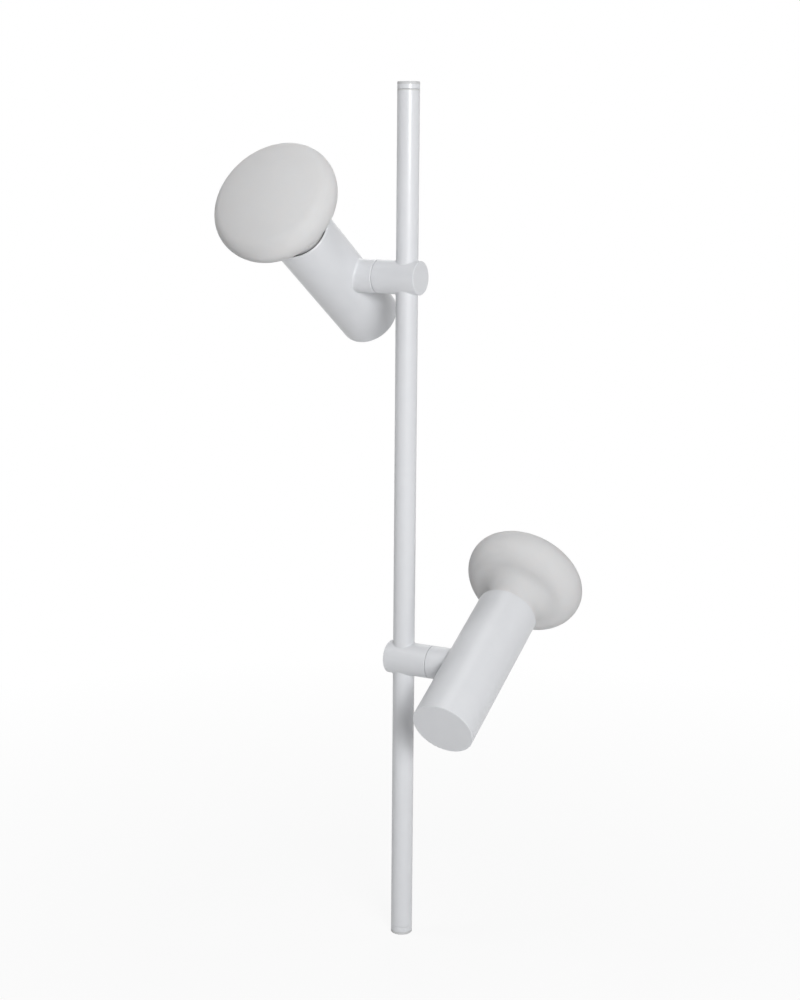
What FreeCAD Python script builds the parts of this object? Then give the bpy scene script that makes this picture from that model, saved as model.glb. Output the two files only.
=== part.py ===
import FreeCAD, Part
import math
import os
import re
import Sketcher

# Tension pole lamp: a slim pole wedged between floor and ceiling, two short arms welded to it on
# opposite sides, and on each arm a tubular spot head that tilts about the arm and ends in an
# opal glass mushroom. Millimetres. +Z is up the pole, +X along the lower arm, the origin is the
# centre of the rubber foot on the floor.

# Driving sizes: name, value, meaning.
SIZES = [
    ("overall_height", 990.0, "floor face to ceiling face, tension plunger pushed in"),
    ("lower_arm_height", 337.5, "floor to the lower arm's axis"),
    ("upper_arm_height", 776.5, "floor to the upper arm's axis"),
    ("lower_head_lean", 59.5, "lower head's axis from upright, degrees"),
    ("upper_head_lean", 56.5, "upper head's axis from upright, degrees"),
    ("fit_gap", 0.05, "radial clearance of a running or sliding fit"),
    ("seat_gap", 0.03, "radial clearance of pieces pressed or glued together"),
    ("end_gap", 0.3, "shadow gap between the pole's ends and the parts that move there"),
    # pole
    ("pole_diameter", 25.0, "outside of the steel tube"),
    ("pole_wall", 1.5, "wall of the steel tube"),
    ("wire_hole_diameter", 8.0, "hole in the pole's wall behind each arm"),
    # levelling foot
    ("foot_pad_thickness", 3.0, "rubber foot"),
    ("pad_bevel", 0.5, "bevel round the rubber pads"),
    ("foot_boss_diameter", 10.0, "boss of the rubber foot, in the screw's recess"),
    ("foot_boss_height", 2.8, "boss of the rubber foot"),
    ("foot_pad_gap", 0.2, "flat gap between the turning screw and its rubber foot"),
    ("foot_head_height", 6.3, "round head of the levelling screw"),
    ("foot_stem_diameter", 12.0, "thread of the levelling screw"),
    ("foot_stem_length", 46.0, "thread of the levelling screw"),
    ("foot_stem_bevel", 1.0, "bevel at the end of the levelling screw"),
    ("foot_nut_length", 30.0, "threaded insert in the pole's lower end"),
    # cord inlet
    ("inlet_height", 70.0, "floor to the cord inlet at the back"),
    ("inlet_hole_diameter", 9.0, "hole in the pole's wall"),
    ("inlet_bore_diameter", 6.0, "cord hole of the rubber grommet"),
    ("inlet_flange_diameter", 13.0, "outer flange of the grommet"),
    ("inlet_flange_height", 1.6, "outer flange of the grommet beyond the pole"),
    ("inlet_flange_bevel", 0.8, "bevel round the flange"),
    ("inlet_neck_spare", 1.0, "grommet's neck past the inside of the wall"),
    # ceiling plunger
    ("ceiling_pad_thickness", 3.0, "rubber ceiling pad"),
    ("plunger_cap_height", 5.0, "cap of the plunger"),
    ("plunger_travel", 25.0, "stroke of the plunger"),
    ("plunger_stop_gap", 0.5, "left between collar and guide at full stroke"),
    ("guide_flange_thickness", 1.5, "flange of the nylon guide on the pole's upper end"),
    ("guide_length", 30.0, "nylon guide inside the pole"),
    ("guide_wall", 3.0, "nylon guide between the pole and the plunger's rod"),
    ("collar_thickness", 5.0, "collar at the rod's lower end"),
    ("collar_screw_diameter", 6.0, "screw that holds the collar"),
    ("collar_screw_depth", 12.0, "thread of the screw in the rod"),
    ("tap_spare", 1.0, "tapped hole past the end of its screw"),
    ("collar_screw_head_diameter", 10.0, "head of the collar screw"),
    ("collar_screw_head_height", 4.0, "head of the collar screw"),
    ("spring_side_gap", 1.2, "inside of the pole to the tension spring"),
    ("spring_wire", 2.4, "wire of the tension spring"),
    ("spring_rest_length", 100.0, "tension spring with the plunger pushed in"),
    ("spring_seat_thickness", 8.0, "plug under the tension spring"),
    ("seat_rivet_diameter", 4.0, "blind rivet through the pole into the spring seat"),
    ("seat_rivet_head_diameter", 7.6, "dome of the rivet"),
    ("seat_rivet_head_height", 1.2, "dome of the rivet"),
    # arm and tilt joint
    ("arm_diameter", 38.0, "round arm"),
    ("arm_tail_wall", 5.0, "pole's surface to the arm's blind end"),
    ("seam_distance", 36.0, "pole's axis to the end of the fixed arm"),
    ("arm_edge_bevel", 0.6, "bevel of the arm's edges"),
    ("pole_weld_radius", 2.2, "dressed weld between pole and arm"),
    ("head_weld_radius", 2.4, "dressed weld between stub and head tube"),
    ("seam_washer_thickness", 0.8, "nylon washer in the seam"),
    ("seam_washer_inset", 1.5, "arm's surface to the rim of the nylon washer"),
    ("pivot_diameter", 10.0, "hollow pivot"),
    ("pivot_wall", 1.75, "hollow pivot, round its wire bore"),
    ("pivot_end_gap", 1.0, "pole's surface to the pivot's inner end"),
    ("pivot_thread_spare", 2.0, "pivot beyond its nut"),
    ("pivot_nut_wall", 2.5, "pivot nut, from its hole to each flat"),
    ("pivot_nut_thickness", 5.0, "pivot nut"),
    ("thrust_washer_gap", 2.0, "inside of the stub to the steel washer"),
    ("thrust_washer_thickness", 1.0, "steel washer inside the stub"),
    ("disc_spring_inset", 1.0, "rim of the steel washer to the rim of the disc spring"),
    ("disc_spring_thickness", 1.2, "disc spring"),
    ("disc_spring_cone", 0.6, "cone height of the disc spring"),
    ("disc_spring_gap", 0.05, "left each side of the disc spring"),
    ("stop_pin_diameter", 3.0, "pin that limits the tilt"),
    ("stop_pin_inset", 6.0, "arm's surface to the pin's axis"),
    ("stop_pin_depth", 6.0, "pin in the fixed arm"),
    ("stop_groove_depth", 2.6, "arc groove in the stub's face"),
    ("stop_groove_gap", 0.15, "left each side of the pin in its groove"),
    ("tilt_limit", 165.0, "tilt either way from upright, degrees"),
    # head
    ("glass_pole_gap", 9.5, "pole's surface to the glass as it tilts past"),
    ("head_diameter", 72.0, "outside of the head tube"),
    ("head_wall", 2.0, "wall of the head tube"),
    ("head_end_thickness", 3.0, "closed end of the head tube"),
    ("head_tail", 95.0, "arm's axis to the closed end"),
    ("head_length", 190.0, "closed end to mouth"),
    ("head_edge_bevel", 0.6, "bevel of the head tube's edges"),
    ("stub_wall", 8.0, "end wall of the stub at the seam"),
    ("stub_side_wall", 6.0, "side wall of the stub"),
    # inside of the head
    ("driver_pad_thickness", 2.0, "foam pad under the driver"),
    ("driver_gap", 5.0, "inside of the head tube to the potted driver"),
    ("driver_height", 34.0, "potted driver"),
    ("driver_edge_bevel", 2.0, "bevel of the potted driver"),
    ("sink_plate_thickness", 6.0, "face plate of the heat sink"),
    ("sink_core_diameter", 26.0, "core of the heat sink"),
    ("fin_gap", 3.0, "inside of the head tube to the fins"),
    ("sink_fin_thickness", 2.2, "each fin"),
    ("sink_fin_count", 16.0, "number of fins"),
    ("sink_height", 44.0, "heat sink with its plate"),
    ("neck_seat_height", 5.0, "heat sink's face to the end of the glass neck"),
    ("snap_ring_thickness", 1.5, "retaining rings each side of the plate"),
    ("snap_ring_groove", 0.8, "depth of the ring grooves in the head's wall"),
    ("snap_ring_width", 2.8, "radial width of a retaining ring"),
    ("board_gap", 2.0, "inside of the glass neck to the light source's board"),
    ("board_thickness", 1.6, "light source's board"),
    ("emitter_diameter", 22.0, "yellow phosphor disc"),
    ("emitter_thickness", 1.2, "yellow phosphor disc"),
    ("board_screw_inset", 5.0, "board's edge to the axis of each screw"),
    ("board_screw_diameter", 3.0, "board's screws"),
    ("board_screw_head_diameter", 5.5, "board's screws"),
    ("board_screw_head_height", 2.0, "board's screws"),
    ("board_screw_depth", 4.0, "thread in the heat sink"),
    # glass diffuser
    ("glass_diameter", 142.0, "across the opal bulb"),
    ("glass_wall", 3.0, "least thickness of the blown glass"),
    ("gasket_wall", 4.0, "silicone ring between the head tube and the glass neck"),
    ("neck_depth", 13.0, "neck inside the head tube"),
    ("neck_bend_radius", 22.0, "hollow curve from the neck to the bulb's back"),
    ("bulb_height", 57.0, "head's mouth to the bulb's widest place"),
    ("bulb_back_radius", 28.0, "round back of the bulb"),
    ("bulb_front_radius", 19.0, "round edge of the bulb's front"),
    ("front_height", 28.0, "bulb's widest place to the middle of its front"),
    ("gasket_recess", 3.0, "head's mouth to the silicone ring"),
]

document = FreeCAD.newDocument("TensionPoleLamp")
sheet = document.addObject("Spreadsheet::Sheet", "Sizes")
for row, (alias, value, meaning) in enumerate(SIZES, 1):
    sheet.set(f"A{row}", meaning)
    sheet.set(f"B{row}", str(value))
    sheet.setAlias(f"B{row}", alias)
document.recompute()

Vector = FreeCAD.Vector
SAME = 0.01  # two places closer than this are one
subparts = []


def size(alias):
    """The number in a size's cell."""
    return float(sheet.get(alias))


def formula(text):
    """A formula written in the sizes' names, pointed at their cells."""
    return re.sub(r"[a-z]+(?:_[a-z]+)+", lambda word: "Sizes." + word.group(), text)


# ---- helpers: sketches and features whose sizes are bound to the sheet ----

def new_body(label):
    body = document.addObject("PartDesign::Body", label)
    body.Label = label
    subparts.append(body)
    return body


def new_sketch(body, plane, offset="0"):
    """A sketch on one of the body's own origin planes, moved along its normal by offset."""
    sketch = body.newObject("Sketcher::SketchObject", body.Label + "_sketch")
    support = [f for f in body.Origin.OriginFeatures if f.Role == plane + "_Plane"][0]
    sketch.AttachmentSupport = (support, "")
    sketch.MapMode = "FlatFace"
    if offset != "0":
        sketch.setExpression("AttachmentOffset.Base.z", formula(offset))
    return sketch


def fix_point(sketch, element, point, across, up):
    """Holds a point of a sketch at (across, up) from the sketch's origin, both formulas."""
    drawn = sketch.getPoint(element, point)
    for kind, text, now in (("DistanceX", across, drawn.x), ("DistanceY", up, drawn.y)):
        number = sketch.addConstraint(Sketcher.Constraint(kind, -1, 1, element, point, now))
        sketch.setExpression(f"Constraints[{number}]", formula(text))


def draw_outline(sketch, corners):
    """A closed outline of straight edges through corners, each a pair of formulas."""
    first = sketch.GeometryCount
    count = len(corners)
    turn = 2 * math.pi / count
    start = [Vector(math.cos(turn * i), math.sin(turn * i), 0) for i in range(count)]
    for i in range(count):
        sketch.addGeometry(Part.LineSegment(start[i], start[(i + 1) % count]), False)
    for i in range(count):
        after = first + (i + 1) % count
        sketch.addConstraint(Sketcher.Constraint("Coincident", first + i, 2, after, 1))
    for i, (across, up) in enumerate(corners):
        fix_point(sketch, first + i, 1, across, up)


def draw_circle(sketch, diameter, across="0", up="0"):
    number = sketch.addGeometry(Part.Circle(Vector(0, 0, 0), Vector(0, 0, 1), 1.0), False)
    radius = sketch.addConstraint(Sketcher.Constraint("Radius", number, 1.0))
    sketch.setExpression(f"Constraints[{radius}]", formula(f"({diameter}) / 2"))
    fix_point(sketch, number, 3, across, up)


def revolve(body, sketch, axis, feature="PartDesign::Revolution", angle="360"):
    """Turns a sketch about its own V_Axis or H_Axis; a groove is turned the same way."""
    turned = body.newObject(feature, body.Label + "_turned")
    turned.Profile = sketch
    turned.ReferenceAxis = (sketch, [axis])
    turned.Midplane = angle != "360"
    turned.setExpression("Angle", formula(angle))
    return turned


def pad(body, sketch, length, both_ways=False, backwards=False):
    grown = body.newObject("PartDesign::Pad", body.Label + "_pad")
    grown.Profile = sketch
    grown.Midplane = both_ways
    grown.Reversed = backwards
    grown.setExpression("Length", formula(length))
    return grown


def pocket(body, sketch, depth, both_ways=False, backwards=False):
    """Cuts a sketch into the body: against the sketch's normal, or along it when backwards."""
    cut = body.newObject("PartDesign::Pocket", body.Label + "_pocket")
    cut.Profile = sketch
    cut.Midplane = both_ways
    cut.Reversed = backwards
    cut.setExpression("Length", formula(depth))
    return cut


def round_edges(body, base, edges, radius):
    """Fillets the given edges of a feature."""
    rounded = body.newObject("PartDesign::Fillet", body.Label + "_rounded")
    rounded.Base = (base, edges)
    rounded.setExpression("Radius", formula(radius))
    return rounded


def bevel_edges(body, base, edges, leg):
    """Chamfers the given edges of a feature."""
    bevelled = body.newObject("PartDesign::Chamfer", body.Label + "_bevelled")
    bevelled.Base = (base, edges)
    bevelled.setExpression("Size", formula(leg))
    return bevelled


def edges_where(feature, wanted):
    """The names of a feature's edges whose middle point passes a test."""
    document.recompute()
    names = []
    for number, edge in enumerate(feature.Shape.Edges, 1):
        low, high = edge.ParameterRange
        if wanted(edge.valueAt((low + high) / 2)):
            names.append(f"Edge{number}")
    return names


def turned_part(label, place, outlines, axis="V_Axis"):
    """A turned piece: outlines of (radius, height) about Z, or of (length, radius) about X."""
    body = new_body(label)
    body.AllowCompound = len(outlines) > 1
    sketch = new_sketch(body, "XZ")
    for corners in outlines:
        draw_outline(sketch, corners)
    revolve(body, sketch, axis)
    body.Placement = place
    return body


def drill(body, plane, offset, depth, diameter, across="0", up="0", **how):
    sketch = new_sketch(body, plane, offset)
    draw_circle(sketch, diameter, across, up)
    return pocket(body, sketch, depth, **how)


def at_height(height):
    return FreeCAD.Placement(Vector(0, 0, height), FreeCAD.Rotation())


# ---- heights along the pole, as formulas in the sizes' names ----
foot_head_base = "(foot_pad_thickness + foot_pad_gap)"
pole_base = "(foot_pad_thickness + foot_pad_gap + foot_head_height + end_gap)"
ceiling_stack = "(ceiling_pad_thickness + plunger_cap_height + end_gap + guide_flange_thickness)"
pole_length = f"(overall_height - {ceiling_stack} - {pole_base})"
rod_length = "(end_gap + guide_flange_thickness + guide_length + plunger_travel + plunger_stop_gap)"

inner_radius = "(pole_diameter / 2 - pole_wall)"
pressed_radius = "(pole_diameter / 2 - pole_wall - seat_gap)"
rod_radius = f"({inner_radius} - guide_wall)"
spring_radius = f"({inner_radius} - spring_side_gap)"

pole_start = (size("foot_pad_thickness") + size("foot_pad_gap") + size("foot_head_height")
              + size("end_gap"))
cap_underside = (size("overall_height") - size("ceiling_pad_thickness")
                 - size("plunger_cap_height"))
pole_end = cap_underside - size("end_gap") - size("guide_flange_thickness")
rod_end = (pole_end - size("guide_length") - size("plunger_travel")
           - size("plunger_stop_gap"))
collar_end = rod_end - size("collar_thickness")
seat_face = collar_end - size("spring_rest_length")


# ---- levelling foot ----

def foot_pad():
    """Rubber foot: a disc with a boss that the levelling screw turns on."""
    turned_part("foot_pad", at_height(0), [[
        ("0", "0"),
        ("pole_diameter / 2 - pad_bevel", "0"),
        ("pole_diameter / 2", "pad_bevel"),
        ("pole_diameter / 2", "foot_pad_thickness"),
        ("foot_boss_diameter / 2", "foot_pad_thickness"),
        ("foot_boss_diameter / 2", "foot_pad_thickness + foot_boss_height"),
        ("0", "foot_pad_thickness + foot_boss_height"),
    ]])


def levelling_foot():
    """Levelling screw: a round head as wide as the pole, recessed for the boss, and a stem."""
    shoulder = f"({foot_head_base} + foot_head_height)"
    stem_end = f"({shoulder} + foot_stem_length)"
    turned_part("levelling_foot", at_height(0), [[
        ("foot_boss_diameter / 2 + fit_gap", foot_head_base),
        ("pole_diameter / 2", foot_head_base),
        ("pole_diameter / 2", shoulder),
        ("foot_stem_diameter / 2", shoulder),
        ("foot_stem_diameter / 2", f"{stem_end} - foot_stem_bevel"),
        ("foot_stem_diameter / 2 - foot_stem_bevel", stem_end),
        ("0", stem_end),
        ("0", "foot_pad_thickness + foot_boss_height + end_gap"),
        ("foot_boss_diameter / 2 + fit_gap", "foot_pad_thickness + foot_boss_height + end_gap"),
    ]])


def foot_nut():
    """Threaded insert pressed into the pole's lower end, flush with the cut tube."""
    turned_part("foot_nut", at_height(pole_start), [[
        ("foot_stem_diameter / 2 + fit_gap", "0"),
        (pressed_radius, "0"),
        (pressed_radius, "foot_nut_length"),
        ("foot_stem_diameter / 2 + fit_gap", "foot_nut_length"),
    ]])


# ---- pole ----

def pole_tube():
    """One length of steel tube, with a wire hole behind each arm and the cord inlet at the back."""
    body = new_body("pole_tube")
    ring = new_sketch(body, "XY")
    draw_circle(ring, "pole_diameter")
    draw_circle(ring, "pole_diameter - 2 * pole_wall")
    pad(body, ring, pole_length)
    lower = f"lower_arm_height - {pole_base}"
    upper = f"upper_arm_height - {pole_base}"
    inlet = f"inlet_height - {pole_base}"
    rivet = (f"overall_height - {ceiling_stack} - guide_length - plunger_travel - plunger_stop_gap"
             f" - collar_thickness - spring_rest_length - spring_seat_thickness / 2 - {pole_base}")
    drill(body, "YZ", "0", "pole_diameter", "wire_hole_diameter", up=lower, backwards=True)
    drill(body, "YZ", "0", "pole_diameter", "wire_hole_diameter", up=upper)
    drill(body, "XZ", "0", "pole_diameter", "inlet_hole_diameter", up=inlet)
    drill(body, "XZ", "0", "pole_diameter", "seat_rivet_diameter + 2 * fit_gap", up=rivet)
    body.Placement = at_height(pole_start)


def cord_grommet():
    """Rubber grommet: a flange saddled on the pole's back, a neck through its wall, a cord hole."""
    body = new_body("cord_grommet")
    outside = "(pole_diameter / 2 + inlet_flange_height)"
    flange = new_sketch(body, "XZ", "-pole_diameter / 2 - inlet_flange_height")
    draw_circle(flange, "inlet_flange_diameter")
    base = pad(body, flange, f"{outside} / 2")
    front = (size("pole_diameter") + size("inlet_flange_height")) / 2
    rim = edges_where(base, lambda p: p.y > front)
    bevel_edges(body, base, rim, "inlet_flange_bevel")
    saddle = new_sketch(body, "XY")
    draw_circle(saddle, "pole_diameter + 2 * seat_gap")
    pocket(body, saddle, "2 * inlet_flange_diameter", both_ways=True)
    neck = new_sketch(body, "XZ", "-pole_diameter / 2 - inlet_flange_height / 2")
    draw_circle(neck, "inlet_hole_diameter - 2 * seat_gap")
    pad(body, neck, "pole_wall + inlet_flange_height / 2 + inlet_neck_spare")
    drill(body, "XZ", "0", outside, "inlet_bore_diameter")
    body.Placement = at_height(size("inlet_height"))


def spring_seat():
    """Plug under the tension spring, with a blind hole at the back for its rivet."""
    body = new_body("spring_seat")
    disc = new_sketch(body, "XY")
    draw_circle(disc, f"2 * {pressed_radius}")
    pad(body, disc, "spring_seat_thickness", backwards=True)
    drill(body, "XZ", "-pole_diameter / 4", "pole_diameter / 2",
          "seat_rivet_diameter + 2 * fit_gap", up="-spring_seat_thickness / 2")
    body.Placement = at_height(seat_face)


def seat_rivet():
    """Blind rivet through the pole's back into the spring seat: shank and low dome."""
    height = seat_face - size("spring_seat_thickness") / 2
    backwards = FreeCAD.Rotation(Vector(0, 0, 1), 90)
    turned_part("seat_rivet", FreeCAD.Placement(Vector(0, 0, height), backwards), [[
        ("pole_diameter / 4 + end_gap", "0"),
        ("pole_diameter / 4 + end_gap", "seat_rivet_diameter / 2"),
        ("pole_diameter / 2 + seat_gap", "seat_rivet_diameter / 2"),
        ("pole_diameter / 2 + seat_gap", "seat_rivet_head_diameter / 2"),
        ("pole_diameter / 2 + seat_rivet_head_height", "seat_rivet_diameter / 2"),
        ("pole_diameter / 2 + seat_rivet_head_height", "0"),
    ]], axis="H_Axis")


# ---- ceiling plunger ----

def plunger_guide():
    """Nylon guide in the pole's upper end, with a thin flange over the cut tube."""
    turned_part("plunger_guide", at_height(pole_end), [[
        (f"{rod_radius} + fit_gap", "-guide_length"),
        (pressed_radius, "-guide_length"),
        (pressed_radius, "0"),
        ("pole_diameter / 2", "0"),
        ("pole_diameter / 2", "guide_flange_thickness"),
        (f"{rod_radius} + fit_gap", "guide_flange_thickness"),
    ]])


def ceiling_plunger():
    """Rod with a cap as wide as the pole, tapped at its lower end for the collar screw."""
    turned_part("ceiling_plunger", at_height(cap_underside), [[
        ("0", "plunger_cap_height"),
        ("0", f"collar_screw_depth + tap_spare - {rod_length}"),
        ("collar_screw_diameter / 2 + seat_gap", f"collar_screw_depth + tap_spare - {rod_length}"),
        ("collar_screw_diameter / 2 + seat_gap", f"-{rod_length}"),
        (rod_radius, f"-{rod_length}"),
        (rod_radius, "0"),
        ("pole_diameter / 2", "0"),
        ("pole_diameter / 2", "plunger_cap_height"),
    ]])


def ceiling_pad():
    """Rubber pad bonded to the plunger's cap."""
    turned_part("ceiling_pad", at_height(cap_underside + size("plunger_cap_height")), [[
        ("0", "0"),
        ("pole_diameter / 2", "0"),
        ("pole_diameter / 2", "ceiling_pad_thickness - pad_bevel"),
        ("pole_diameter / 2 - pad_bevel", "ceiling_pad_thickness"),
        ("0", "ceiling_pad_thickness"),
    ]])


def plunger_collar():
    """Collar that the spring pushes on and that stops the rod at the guide."""
    turned_part("plunger_collar", at_height(collar_end), [[
        ("collar_screw_diameter / 2 + seat_gap", "0"),
        (f"{inner_radius} - 2 * fit_gap", "0"),
        (f"{inner_radius} - 2 * fit_gap", "collar_thickness"),
        ("collar_screw_diameter / 2 + seat_gap", "collar_thickness"),
    ]])


def collar_screw():
    """Screw that holds the collar to the rod, its head inside the spring."""
    body = turned_part("collar_screw", at_height(collar_end), [[
        ("0", "-collar_screw_head_height"),
        ("collar_screw_head_diameter / 2", "-collar_screw_head_height"),
        ("collar_screw_head_diameter / 2", "0"),
        ("collar_screw_diameter / 2", "0"),
        ("collar_screw_diameter / 2", "collar_thickness + collar_screw_depth"),
        ("0", "collar_thickness + collar_screw_depth"),
    ]])
    socket = new_sketch(body, "XY", "-collar_screw_head_height")
    draw_hexagon(socket, "collar_screw_head_diameter / 2")
    pocket(body, socket, "collar_screw_head_height / 2", backwards=True)


def draw_hexagon(sketch, flats):
    corners = []
    for i in range(6):
        reach = f"({flats}) / sqrt(3)"
        corners.append((f"{reach} * cos({60 * i})", f"{reach} * sin({60 * i})"))
    draw_outline(sketch, corners)


def tension_spring():
    """The room that the tension spring fills between its seat and the collar."""
    turned_part("tension_spring", at_height(seat_face), [[
        (f"{spring_radius} - spring_wire", "0"),
        (spring_radius, "0"),
        (spring_radius, "spring_rest_length"),
        (f"{spring_radius} - spring_wire", "spring_rest_length"),
    ]])


# ---- fixed arm and tilt joint, seen with the arm along +X and the pole's axis at the origin ----
arm_tail = "(pole_diameter / 2 + arm_tail_wall)"
head_offset = "(pole_diameter / 2 + glass_pole_gap + glass_diameter / 2)"
stub_face = "(seam_distance + seam_washer_thickness)"
stub_bore = "(arm_diameter - 2 * stub_side_wall)"
pin_radius = "(arm_diameter / 2 - stop_pin_inset)"
thrust_washer_radius = f"({stub_bore} / 2 - thrust_washer_gap)"
washer_face = f"({stub_face} + stub_wall)"
spring_face = f"({washer_face} + thrust_washer_thickness)"
nut_face = f"({spring_face} + disc_spring_thickness + disc_spring_cone + 2 * disc_spring_gap)"
pivot_end = f"({nut_face} + pivot_nut_thickness + pivot_thread_spare)"
pivot_start = "(pole_diameter / 2 + pivot_end_gap)"

tail_place = size("pole_diameter") / 2 + size("arm_tail_wall")
head_place = (size("pole_diameter") / 2 + size("glass_pole_gap")
              + size("glass_diameter") / 2)
stub_place = size("seam_distance") + size("seam_washer_thickness") - head_place


def fixed_arm(name, place):
    """Solid round arm, bored for the pole and welded to it all round above and below."""
    body = new_body(name + "_arm")
    bar = new_sketch(body, "YZ", f"-{arm_tail}")
    draw_circle(bar, "arm_diameter")
    bar_pad = pad(body, bar, f"{arm_tail} + seam_distance")
    arm_radius = size("arm_diameter") / 2
    bevel_edges(body, bar_pad, edges_where(bar_pad, lambda p: math.hypot(p.y, p.z) > arm_radius - SAME
                and min(abs(p.x + tail_place), abs(p.x - size("seam_distance"))) < SAME),
                "arm_edge_bevel")
    core = new_sketch(body, "XY")
    draw_circle(core, "pole_diameter")
    core_pad = pad(body, core, "2 * arm_diameter", both_ways=True)
    pole_radius = size("pole_diameter") / 2
    seams = edges_where(core_pad, lambda p: abs(math.hypot(p.x, p.y) - pole_radius) < SAME
                        and abs(math.hypot(p.y, p.z) - arm_radius) < SAME)
    round_edges(body, core_pad, seams, "pole_weld_radius")
    bore = new_sketch(body, "XY")
    draw_circle(bore, "pole_diameter + 2 * fit_gap")
    pocket(body, bore, "3 * arm_diameter", both_ways=True)
    drill(body, "YZ", "0", "2 * seam_distance", "pivot_diameter + 2 * seat_gap", backwards=True)
    drill(body, "YZ", "seam_distance", "stop_pin_depth", "stop_pin_diameter", up=pin_radius)
    body.Placement = place


def tilt_joint(name, place):
    """The pieces of the joint that stay with the arm."""
    turned_part(name + "_pivot", place, [[
        (pivot_start, "pivot_diameter / 2 - pivot_wall"),
        (pivot_end, "pivot_diameter / 2 - pivot_wall"),
        (pivot_end, "pivot_diameter / 2"),
        (pivot_start, "pivot_diameter / 2"),
    ]], axis="H_Axis")
    turned_part(name + "_thrust_washer", place, [[
        (washer_face, "pivot_diameter / 2 + fit_gap"),
        (spring_face, "pivot_diameter / 2 + fit_gap"),
        (spring_face, thrust_washer_radius),
        (washer_face, thrust_washer_radius),
    ]], axis="H_Axis")
    disc_spring(name, place)
    pivot_nut(name, place)
    seam_washer(name, place)
    stop_pin(name, place)


def disc_spring(name, place):
    """Coned washer that presses the joint's faces together for its friction."""
    inner = "pivot_diameter / 2 + 2 * fit_gap"
    outer = f"{thrust_washer_radius} - disc_spring_inset"
    low = f"{spring_face} + disc_spring_gap"
    turned_part(name + "_disc_spring", place, [[
        (low, inner),
        (f"{low} + disc_spring_cone", outer),
        (f"{low} + disc_spring_cone + disc_spring_thickness", outer),
        (f"{low} + disc_spring_thickness", inner),
    ]], axis="H_Axis")


def pivot_nut(name, place):
    body = new_body(name + "_pivot_nut")
    hexagon = new_sketch(body, "YZ", nut_face)
    draw_hexagon(hexagon, "pivot_diameter + 2 * pivot_nut_wall")
    draw_circle(hexagon, "pivot_diameter + 2 * seat_gap")
    pad(body, hexagon, "pivot_nut_thickness")
    body.Placement = place


def seam_washer(name, place):
    """Nylon washer in the seam, kept from turning by the stop pin."""
    body = new_body(name + "_seam_washer")
    disc = new_sketch(body, "YZ", "seam_distance")
    draw_circle(disc, "arm_diameter - 2 * seam_washer_inset")
    draw_circle(disc, "pivot_diameter + 2 * fit_gap")
    draw_circle(disc, "stop_pin_diameter + 2 * fit_gap", up=pin_radius)
    pad(body, disc, "seam_washer_thickness")
    body.Placement = place


def stop_pin(name, place):
    body = new_body(name + "_stop_pin")
    disc = new_sketch(body, "YZ", "seam_distance - stop_pin_depth")
    draw_circle(disc, "stop_pin_diameter - 2 * seat_gap", up=pin_radius)
    pad(body, disc, "stop_pin_depth + seam_washer_thickness + stop_groove_depth - 2 * stop_groove_gap")
    body.Placement = place


# ---- head, seen upright with the arm's axis along X through the origin ----
mouth = "(head_length - head_tail)"
sink_face = f"({mouth} - neck_depth - neck_seat_height)"
head_inside = "(head_diameter / 2 - head_wall)"
neck_radius = f"({head_inside} - gasket_wall)"
board_radius = f"({neck_radius} - glass_wall - board_gap)"
widest = f"({mouth} + bulb_height)"


def head_stub(name, place):
    """Hollow half of the arm: end wall with its arc groove, coped and welded to the head tube."""
    body = new_body(name + "_head_stub")
    face = f"({stub_face} - {head_offset})"
    bar = new_sketch(body, "YZ", face)
    draw_circle(bar, "arm_diameter")
    bar_pad = pad(body, bar, f"-{face}")
    end = edges_where(bar_pad, lambda p: abs(p.x - stub_place) < SAME)
    bevel_edges(body, bar_pad, end, "arm_edge_bevel")
    core = new_sketch(body, "XY")
    draw_circle(core, "head_diameter")
    core_pad = pad(body, core, "2 * arm_diameter", both_ways=True)
    arm_radius = size("arm_diameter") / 2
    head_radius = size("head_diameter") / 2
    seams = edges_where(core_pad, lambda p: abs(math.hypot(p.x, p.y) - head_radius) < SAME
                        and abs(math.hypot(p.y, p.z) - arm_radius) < SAME)
    round_edges(body, core_pad, seams, "head_weld_radius")
    cope = new_sketch(body, "XY")
    draw_circle(cope, "head_diameter + 2 * fit_gap")
    pocket(body, cope, "3 * arm_diameter", both_ways=True)
    drill(body, "YZ", f"{face} + stub_wall", head_offset, stub_bore, backwards=True)
    drill(body, "YZ", face, head_offset, "pivot_diameter + 2 * fit_gap", backwards=True)
    groove = new_sketch(body, "XZ")
    half_width = "(stop_pin_diameter / 2 + stop_groove_gap)"
    draw_outline(groove, [
        (f"{face} - stop_groove_depth", f"{pin_radius} - {half_width}"),
        (f"{face} + stop_groove_depth", f"{pin_radius} - {half_width}"),
        (f"{face} + stop_groove_depth", f"{pin_radius} + {half_width}"),
        (f"{face} - stop_groove_depth", f"{pin_radius} + {half_width}"),
    ])
    pin_angle = f"asin({half_width} / {pin_radius})"
    revolve(body, groove, "H_Axis", "PartDesign::Groove", f"2 * tilt_limit + 2 * {pin_angle} / 1 deg")
    body.Placement = place


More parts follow.
